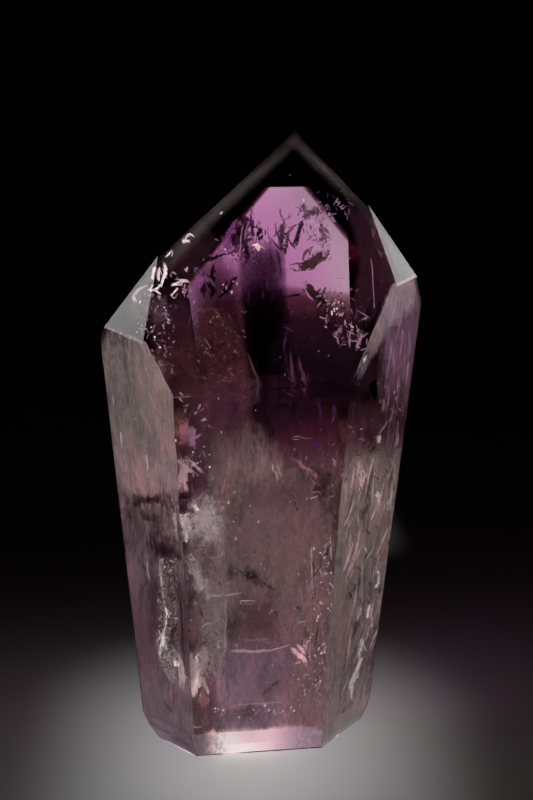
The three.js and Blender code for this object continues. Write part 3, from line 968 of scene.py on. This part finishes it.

# Clusters of bright specks, whose glints are painted: window, depth, middle, how far they scatter, and
# how many
SPARK_CLUSTERS = (
    ("crown", 3, (181, 232), (4, 4), 8),
    ("crown", 3, (155, 262), (3, 7), 8),
    ("crown", 5, (237, 280), (4, 4), 4),
    ("crown", 5, (227, 290), (4, 3), 6),
    ("crown", 5, (333, 307), (5, 5), 14),
    ("crown", 3, (160, 325), (8, 18), 18),
    ("front", 4, (200, 455), (6, 8), 10),
    ("front", 5, (320, 608), (9, 6), 34),
    ("front", 5, (315, 650), (9, 12), 36),
    ("front", 5, (312, 690), (10, 16), 40),
    ("front", 5, (328, 568), (5, 18), 26),
    ("front", 5, (240, 540), (24, 30), 26),
    ("front", 3, (250, 711), (22, 3), 40),
    ("left", 1, (150, 420), (16, 40), 16),
    ("right", 1, (375, 560), (8, 50), 24),
    ("right", 1, (396, 405), (4, 12), 8),
)

# Zones of deeper colour: x and y of the middle as seen through the crown and its depth, half
# the width, height and depth in millimetres, how square the outline is, and how softly it ends
# The zones of painted shade darken the stone where it looks dark
PAINTED_SHADE_ZONES = (
    (292, 352, 42.2, 17, 15, 4.2, 0.2, 0.85),
    (222, 303, 20, 4.6, 9, 1.5, 0.2, 0.85),
)
VIOLET_ZONES = (
    (222, 284, 6, 6, 6, 0.75, 0.2, 0.8),
    (265, 318, 24, 4.4, 15.5, 3.2, 0.85, 0.6),
    (265, 342, 14, 4.4, 13, 2.4, 0.5, 0.9),
)
CROWN_ZONES = (
    (240, 250, 19, 20, 20, 8.5, 0.0, 0.9),
)
# Bearing and elevation of the rear crown facets with a zone of painted shade under them
PAINTED_SHADE_FACES = ((-127, 40), (114, 40))

# Fields of splinters: window, depths, the field's left, top, right and bottom, the shortest and
# longest splinter, how many, and tones. A field whose splinters lie mostly one way ends with
# their angle from upright in radians and how far it strays. In the others it is any turn.
ANY_TURN = (0, 0.9)
SPLINTER_FIELDS = (
    ("crown", (5, 7), (300, 205, 330, 235), (3, 9), 60, "lilac blush violet plum"),
    ("crown", (5, 7), (316, 192, 352, 218), (3, 8), 44, "heather lilac lilac violet"),
    ("crown", (6, 8), (308, 230, 330, 260), (3, 9), 40, "heather lilac umber"),
    ("crown", (5, 7), (318, 290, 345, 330), (3, 12), 80, "lilac blush smoke dusk dusk"),
    ("crown", (4, 6), (335, 300, 368, 352), (3, 12), 80, "lilac blush smoke clay"),
    ("crown", (3, 5), (150, 268, 192, 300), (2, 8), 70, "silver lilac smoke plum"),
    ("crown", (3, 5), (145, 300, 178, 372), (2, 9), 90, "ash heather smoke lilac"),
    ("crown", (6, 8), (195, 310, 245, 398), (2, 8), 110, "clay heather umber milk"),
    ("crown", (5, 8), (235, 215, 262, 262), (3, 10), 40, "plum smoke lilac"),
    ("crown", (8, 14), (280, 300, 345, 398), (3, 12), 70, "plum dusk smoke clay"),
    ("crown", (12, 18), (245, 235, 285, 300), (8, 24), 40, "plum heather dusk", 0, 0.15),
    ("front", (3, 6), (172, 400, 215, 520), (3, 10), 90, "blush milk umber clay"),
    ("front", (3, 7), (285, 420, 345, 520), (3, 10), 60, "blush umber clay milk"),
    ("front", (3, 7), (295, 540, 345, 720), (2, 9), 160, "blush silver umber pink"),
    ("front", (3, 7), (300, 550, 345, 730), (10, 36), 60, "blush umber mist clay", -0.1, 0.2),
    ("front", (3, 7), (215, 520, 290, 640), (2, 8), 60, "milk ash plum"),
    ("front", (2.5, 4), (180, 560, 225, 700), (2, 8), 80, "ash silver bark"),
    ("right", (0.6, 1.2), (350, 380, 400, 460), (2, 9), 50, "pink umber clay lilac"),
    ("right", (0.6, 1.2), (345, 460, 395, 640), (3, 14), 130,
     "blush pearl umber bark heather", 0.42, 0.3),
    ("right", (0.6, 1.2), (345, 470, 398, 720), (14, 50), 130,
     "blush silver clay heather mist ash", -0.2, 0.12),
    ("right", (0.6, 1.2), (342, 640, 375, 730), (2, 8), 60, "blush pearl umber"),
    ("right", (0.6, 1.2), (385, 330, 415, 460), (10, 40), 40, "mist heather lilac", -0.15, 0.08),
    ("left", (0.6, 1.2), (159, 556, 177, 665), (2, 7), 220, "silver ash dusk umber dusk"),
    ("left", (0.6, 1.2), (110, 340, 170, 490), (2, 7), 30, "ash clay milk"),
)

# Iron stains
IRON_STAINS = (
    ("crown", 10, "rust", 0.5, ((212, 270, 6), (214, 285, 12), (214, 302, 8))),
    ("front", 4, "rust", 0.55, ((176, 408, 14), (178, 420, 22), (181, 436, 22), (182, 456, 16))),
    ("front", 5, "rust", 0.4, ((341, 417, 5), (342, 427, 13), (343, 438, 10), (344, 446, 4))),
    ("right", 1.6, "rust", 0.35, ((362, 414, 3), (364, 422, 7), (366, 432, 4))),
    ("left", 1.6, "rust", 0.4, ((179, 692, 4), (183, 698, 9), (186, 706, 4))),
    ("front", 9, "rust", 0.35, ((289, 340, 3), (312, 340, 9), (336, 341, 3))),
)


class AMETHYST_OT_stage(bpy.types.Operator):
    """Lays the floor, hangs the softboxes and sets the camera"""

    bl_idname = "amethyst.stage"
    bl_label = "Stage"

    def execute(self, context):
        scene = context.scene
        self.lay_floor(scene)
        for name, softbox in SOFTBOXES.items():
            self.hang(scene, name, **softbox)
        self.dim_room(scene)
        self.set_camera(scene)
        return {"FINISHED"}

    def lay_floor(self, scene):
        shape = bmesh.new()
        bmesh.ops.create_grid(shape, x_segments=1, y_segments=1, size=FLOOR_HALF_WIDTH)
        bmesh.ops.translate(shape, verts=shape.verts, vec=(0, 0, -FLOOR_DROP))
        finish = Finish("floor")
        color = (*scene.amethyst_stage.floor_color, 1)
        surface = finish.add(
            "ShaderNodeBsdfPrincipled", inputs={"Base Color": color, "Roughness": FLOOR_ROUGHNESS})
        floor = new_object("floor", shape, finish.finished(surface), "floor")

    def hang(self, scene, name, bearing, elevation, distance, size, power, aim, spread=180,
             lights="stone"):
        data = bpy.data.lights.new(name, "AREA")
        data.shape = "RECTANGLE"
        data.size, data.size_y = size
        data.energy = power
        data.spread = math.radians(spread)
        softbox = bpy.data.objects.new(name, data)
        scene.collection.objects.link(softbox)
        back = direction(bearing, elevation)
        softbox.location = Vector(aim) * MM + back * distance
        softbox.rotation_mode = "QUATERNION"
        softbox.rotation_quaternion = back.to_track_quat("Z", "Y")
        softbox.visible_camera = False
        softbox.light_linking.receiver_collection = lit_by(lights)
        softbox.light_linking.blocker_collection = lit_by(lights)

    def dim_room(self, scene):
        world = bpy.data.worlds.new("studio")
        world.use_nodes = True
        background = world.node_tree.nodes["Background"]
        background.inputs["Color"].default_value = ROOM_COLOR
        background.inputs["Strength"].default_value = ROOM_GLOW
        scene.world = world
        for name, count in BOUNCES.items():
            setattr(scene.cycles, name, count)

    def set_camera(self, scene):
        data = bpy.data.cameras.new("camera")
        data.lens = CAMERA_LENS
        data.sensor_width = SENSOR
        camera = bpy.data.objects.new("camera", data)
        scene.collection.objects.link(camera)
        back = direction(CAMERA_BEARING, CAMERA_ELEVATION)
        camera.location = CAMERA_AIM + back * CAMERA_DISTANCE
        camera.rotation_mode = "QUATERNION"
        camera.rotation_quaternion = (-back).to_track_quat("-Z", "Y")
        scene.camera = camera
        scene.view_settings.view_transform = "Standard"


class AMETHYST_OT_stone(bpy.types.Operator):
    """Builds the polished stone from the measured solid, with its edges rounded"""

    bl_idname = "amethyst.stone"
    bl_label = "Stone"

    def execute(self, context):
        settings = context.scene.amethyst_stone
        finish = clear_finish("polished_amethyst", QUARTZ_INDEX, settings.tint, settings.density)
        piece = in_stone("polished_stone", Stone().shape, finish, smooth=True)
        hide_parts("amethyst_point")
        bevel = piece.modifiers.new("rounded_arrises", "BEVEL")
        bevel.width = settings.arris
        bevel.segments = ARRIS_STEPS
        bevel.limit_method = "ANGLE"
        bevel.angle_limit = ARRIS_ANGLE
        bevel.harden_normals = True
        return {"FINISHED"}


class AMETHYST_OT_zones(bpy.types.Operator):
    """Places the zones of painted shade, the violet zones, and the deeper colour of the crown"""

    bl_idname = "amethyst.zones"
    bl_label = "Colour zones"

    def execute(self, context):
        settings = context.scene.amethyst_stone
        stone = Stone()
        # The first zones are painted shade; the violet and crown zones are the stone's own colour
        for name, zones, tint, density in (
                ("painted_shade_zones", PAINTED_SHADE_ZONES, settings.smoke, settings.painted_shade_density),
                ("violet_zones", VIOLET_ZONES, settings.violet, settings.violet_density),
                ("crown_zones", CROWN_ZONES, settings.crown, settings.crown_density)):
            shape = bmesh.new()
            for zone in zones:
                self.add_lens(shape, stone, *zone)
            in_stone(name, shape, clear_finish(name, ZONE_INDEX, tint, density))
        return {"FINISHED"}

    def add_lens(self, shape, stone, x, y, depth, half_width, half_height, half_depth, square,
                 softness):
        """Adds a lens that faces the camera, thickest in its middle and thin at its rim."""
        centre = stone.seen("crown", x, y, depth * MM)
        facing = direction(CAMERA_BEARING)
        level = UP.cross(facing).normalized()
        seed = (x * 0.37 + y * 0.11) % 10
        made = bmesh.ops.create_icosphere(shape, subdivisions=4, radius=1.0)
        for vert in made["verts"]:
            a, b, c = vert.co
            reach = math.hypot(a, b)
            c *= (1 - softness) + softness * math.sqrt(max(0.0, 1 - reach ** 2))
            corner = 1 + square * (reach / max(abs(a), abs(b), 0.001) - 1)
            wave = 1 + LENS_WAVE * noise.noise(Vector((a, b, seed)) * LENS_WAVE_PITCH)
            offset = level * a * corner * half_width * wave + facing * c * half_depth
            offset = (offset + Vector((0, 0, b * corner * half_height * wave))) * MM
            vert.co = centre + offset * stone.room(centre, offset)


class AMETHYST_OT_painted_shade_faces(bpy.types.Operator):
    """Paints shade in the stone just under the rear facets of the crown, by darkening it there"""

    bl_idname = "amethyst.smoky_faces"
    bl_label = "Smoky faces"

    def execute(self, context):
        settings = context.scene.amethyst_stone
        finish = clear_finish("painted_shade_face", ZONE_INDEX, settings.smoke, settings.face_density)
        for number, towards in enumerate(PAINTED_SHADE_FACES, 1):
            stone = Stone()
            point, normal = stone.facet_towards(*towards)
            slab = stone.shape
            stone.trim(slab, closed=True)
            stone.cut(slab, point - normal * settings.face_depth, -normal, closed=True)
            bmesh.ops.recalc_face_normals(slab, faces=slab.faces)
            in_stone(f"painted_shade_face_{number}", slab, finish)
        return {"FINISHED"}


class AMETHYST_OT_haze(bpy.types.Operator):
    """Lays the haze of the lower stone, the painted shade of the crown, and the painted light of the
    crown's edges and of the foot
    """

    bl_idname = "amethyst.haze"
    bl_label = "Haze"

    def execute(self, context):
        # The crown's edges: a painted sheen
        finish = sheet_finish(
            "rim", 0.2, body=1.0, ragged=0.1, gaps=(0.2, 1.4), contrast=0.2, relief=0.0)
        lay(context, "painted_rim_sheen", PAINTED_RIM_SHEEN, 73, finish, wider=0.7, relief=0.0, ragged=0.0)
        finish = sheet_finish(
            "haze", 0.2, size=0.55, stretch=(1, 1, 2.6), body=2.4, ragged=0.9, gaps=(0.0, 1.2),
            contrast=1.3, relief=0.1)
        lay(context, "haze", HAZE, 59, finish, wider=1.08, lean=0.5, relief=0.5, ragged=0.03)
        # The foot: a painted glow
        finish = sheet_finish(
            "painted_foot_glow", 0.6, size=0.4, stretch=(0.4, 0.4, 2), body=1.8, ragged=0.8,
            gaps=(0.1, 0.9), contrast=0.35, relief=0.1)
        lay(context, "painted_foot_glow", PAINTED_FOOT_GLOW, 79, finish, relief=0.1, ragged=0.1)
        return {"FINISHED"}


class AMETHYST_OT_fractures(bpy.types.Operator):
    """Lays the bright fractures with their painted light, the dark fractures, the painted shade, the
    flakes and the healed cracks
    """

    bl_idname = "amethyst.fractures"
    bl_label = "Fractures and flakes"

    def execute(self, context):
        # The fractures' mirrored light is painted, as a pale colour that glows
        finish = sheet_finish(
            "silver_fracture", 0.5, size=0.25, stretch=(1, 1, 2), body=1.8, ragged=1.8,
            gaps=(0.2, 0.8), contrast=0.9, shine=0.5)
        lay(context, "silver_fractures", SILVER_FRACTURES, 11, finish, wider=1.25, lean=1.0,
            ragged=0.4, splinters=3)
        finish = sheet_finish(
            "dark_feather", 0.0, size=0.25, stretch=(1, 1, 2), body=2.2, ragged=3.2,
            gaps=(0.5, 0.9), roughness=0.35)
        lay(context, "dark_feathers", DARK_FEATHERS, 23, finish, wider=1.7, lean=1.0, ragged=0.5,
            splinters=5)
        # Dark sheets of painted shade
        finish = sheet_finish(
            "shadow", 0.05, size=0.3, stretch=(1, 1, 1.6), body=1.7, ragged=2.2, gaps=(0.2, 1.7))
        lay(context, "shadows", SHADOWS, 29, finish, wider=1.2, lean=0.6, ragged=0.3, splinters=1)
        finish = sheet_finish(
            "pink_flake", 0.3, size=0.3, stretch=(1, 1, 2.5), body=1.4, ragged=1.5, gaps=(0.2, 1.0))
        lay(context, "pink_flakes", PINK_FLAKES, 37, finish, lean=1.0, ragged=0.4, splinters=3)
        # The light that the healed cracks catch is painted, as a pale colour that glows
        finish = sheet_finish("light_line", 0.4, size=0.5, stretch=(1, 1, 1.5), gaps=(0.05, 0.35))
        lay(context, "light_lines", LIGHT_LINES, 41, finish, wider=0.85, lean=0.5, ragged=0.4)
        return {"FINISHED"}


class AMETHYST_OT_veils(bpy.types.Operator):
    """Lays the lace-like healed fracture, the milky veils and the iron stains"""

    bl_idname = "amethyst.veils"
    bl_label = "Veils and stains"

    def execute(self, context):
        finish = sheet_finish("lace", 0.2, body=3.0, ragged=1.2, gaps=(0.1, 0.8), lace=0.8)
        lay(context, "lace", LACE, 67, finish, lean=0.5)
        finish = sheet_finish(
            "milky_veil", 0.2, size=0.3, stretch=(1, 1, 1.7), body=1.7, ragged=1.5, gaps=(0.1, 1.5),
            contrast=0.9)
        lay(context, "veils", VEILS, 53, finish, wider=1.3, lean=3.0, relief=2.0)
        finish = sheet_finish("iron_stain", 0.05, size=0.5, stretch=(1, 1, 2), gaps=(0.1, 0.9))
        lay(context, "iron_stains", IRON_STAINS, 61, finish, relief=1.0)
        return {"FINISHED"}


class AMETHYST_OT_splinters(bpy.types.Operator):
    """Scatters the splinters of the broken zones"""

    bl_idname = "amethyst.splinters"
    bl_label = "Splinters"

    def execute(self, context):
        colors = context.scene.amethyst_inclusions
        piece = Inclusions("splinters", 101)
        draw = piece.random
        for window, depths, (left, top, right, bottom), lengths, count, tones, *turn in SPLINTER_FIELDS:
            for _ in range(count):
                x, y = draw.uniform(left, right), draw.uniform(top, bottom)
                if not piece.stone.shows(window, x, y):
                    continue
                half, angle = draw.uniform(*lengths) / 2, draw.gauss(*(turn or ANY_TURN))
                width = draw.uniform(*SPLINTER_WIDTHS)
                points = []
                for step in (-1, 0, 1):
                    across = x + step * half * math.sin(angle) + draw.gauss(0, SPLINTER_BEND)
                    down = y + step * half * math.cos(angle)
                    points.append((across, down, width * (1 - SPLINTER_TAPER * abs(step))))
                tone = getattr(colors, draw.choice(tones.split()))
                depth, density = draw.uniform(*depths), draw.uniform(*SPLINTER_DENSITIES)
                piece.stroke(window, depth, [tone], density, points, ragged=0.3)
        piece.finished(sheet_finish(
            "splinter", 0.3, size=0.25, stretch=(1, 1, 1.5), body=1.8, ragged=1.8, gaps=(0.1, 1.0)))
        return {"FINISHED"}


class AMETHYST_OT_cloud(bpy.types.Operator):
    """Scatters wisps of cloud through the lower part of the stone"""

    bl_idname = "amethyst.cloud"
    bl_label = "Cloud"

    count: IntProperty(name="Wisps", description="How many wisps", default=150, min=0)

    def execute(self, context):
        colors = context.scene.amethyst_inclusions
        piece = Inclusions("cloud", 71)
        draw = piece.random
        low, high = (Vector(corner) for corner in SOLID_BOUNDS)
        placed = 0
        while placed < self.count:
            centre = Vector([draw.uniform(low[i], high[i]) for i in range(3)])
            gap_chance = centre.z / high.z * WISP_THINNING - WISP_FULLNESS
            if not piece.stone.holds(centre, WISP_CLEARANCE) or draw.random() < gap_chance:
                continue
            tone = draw.choice((colors.milk, colors.milk, colors.ash, colors.clay, colors.mist))
            width, height = draw.uniform(*WISP_WIDTHS) * MM, draw.uniform(*WISP_HEIGHTS) * MM
            facing = direction(draw.uniform(-180, 180), draw.gauss(0, WISP_LEAN))
            density = draw.uniform(*WISP_DENSITIES)
            self.wisp(piece, centre, facing, width, height, tone, density)
            placed += 1
        piece.finished(sheet_finish(
            "cloud", 0.1, size=0.45, stretch=(1, 1, 4), body=1.0, gaps=(0.2, 1.1), round_edge=True))
        return {"FINISHED"}

    def wisp(self, piece, centre, facing, width, height, tone, density):
        """An upright wavy sheet at a place in the stone."""
        level = UP.cross(facing).normalized()
        rise = facing.cross(level)

        def place(along, across):
            spot = centre + level * (across - 0.5) * width + rise * (along - 0.5) * height
            return spot + facing * noise.noise(spot / (4 * MM)) * 0.12 * width

        piece.sheet((5, 4), place, [tone], density)


class AMETHYST_OT_sparks(bpy.types.Operator):
    """Scatters the tiny specks of bubbles and flakes, with their glints painted as silver that glows"""

    bl_idname = "amethyst.sparks"
    bl_label = "Sparks"

    strays: IntProperty(
        name="Strays", description="How many places are tried for specks outside the clusters",
        default=500, min=0)

    def execute(self, context):
        piece = Inclusions("sparks", 83)
        draw = piece.random
        silver = context.scene.amethyst_inclusions.silver
        for window, depth, middle, spread, count in SPARK_CLUSTERS:
            for _ in range(count):
                x, y = (draw.gauss(middle[i], spread[i]) for i in range(2))
                size = draw.uniform(*SPECK_SIZES) * MM
                centre = piece.stone.seen(window, x, y, (depth + draw.uniform(*SPECK_DEPTHS)) * MM)
                self.fleck(piece, centre, size, silver)
        low, high = (Vector(corner) for corner in SOLID_BOUNDS)
        for _ in range(self.strays):
            centre = Vector([draw.uniform(low[i], high[i]) for i in range(3)])
            if piece.stone.holds(centre, STRAY_CLEARANCE):
                self.fleck(piece, centre, draw.uniform(*STRAY_SIZES) * MM, silver)
        piece.finished(sheet_finish("spark", 0.5, ragged=0.0, gaps=(-0.2, -0.1), contrast=0.2))
        return {"FINISHED"}

    def fleck(self, piece, centre, size, tone):
        facing = direction(piece.random.uniform(-180, 180), piece.random.uniform(-50, 50))
        level = UP.cross(facing).normalized()
        rise = facing.cross(level) * piece.random.uniform(0.6, 2)

        def place(along, across):
            return centre + level * (across - 0.5) * size + rise * (along - 0.5) * size

        piece.sheet((1, 1), place, [tone], 1.0)


class AMETHYST_PT_panel(bpy.types.Panel):
    """Lists the settings and the pieces of the amethyst point"""

    bl_idname = "AMETHYST_PT_panel"
    bl_label = "Amethyst"
    bl_space_type = "VIEW_3D"
    bl_region_type = "UI"
    bl_category = "Amethyst"

    def draw(self, context):
        for group in SETTINGS:
            settings = getattr(context.scene, group)
            for name in settings.__annotations__:
                self.layout.prop(settings, name)
        for operator in PIECES:
            self.layout.operator(operator.bl_idname)


SETTINGS = {
    "amethyst_stone": StoneSettings,
    "amethyst_inclusions": InclusionSettings,
    "amethyst_stage": StageSettings,
}
PIECES = (
    AMETHYST_OT_stage, AMETHYST_OT_stone, AMETHYST_OT_zones, AMETHYST_OT_painted_shade_faces,
    AMETHYST_OT_haze, AMETHYST_OT_fractures, AMETHYST_OT_veils, AMETHYST_OT_splinters,
    AMETHYST_OT_cloud, AMETHYST_OT_sparks)
CLASSES = (*SETTINGS.values(), *PIECES, AMETHYST_PT_panel)


def register():
    for item in CLASSES:
        bpy.utils.register_class(item)
    for name, group in SETTINGS.items():
        setattr(bpy.types.Scene, name, PointerProperty(type=group))


def unregister():
    for name in SETTINGS:
        delattr(bpy.types.Scene, name)
    for item in reversed(CLASSES):
        bpy.utils.unregister_class(item)


def main():
    register()
    for piece in PIECES:
        area, action = piece.bl_idname.split(".")
        getattr(getattr(bpy.ops, area), action)()


if __name__ == "__main__":
    main()
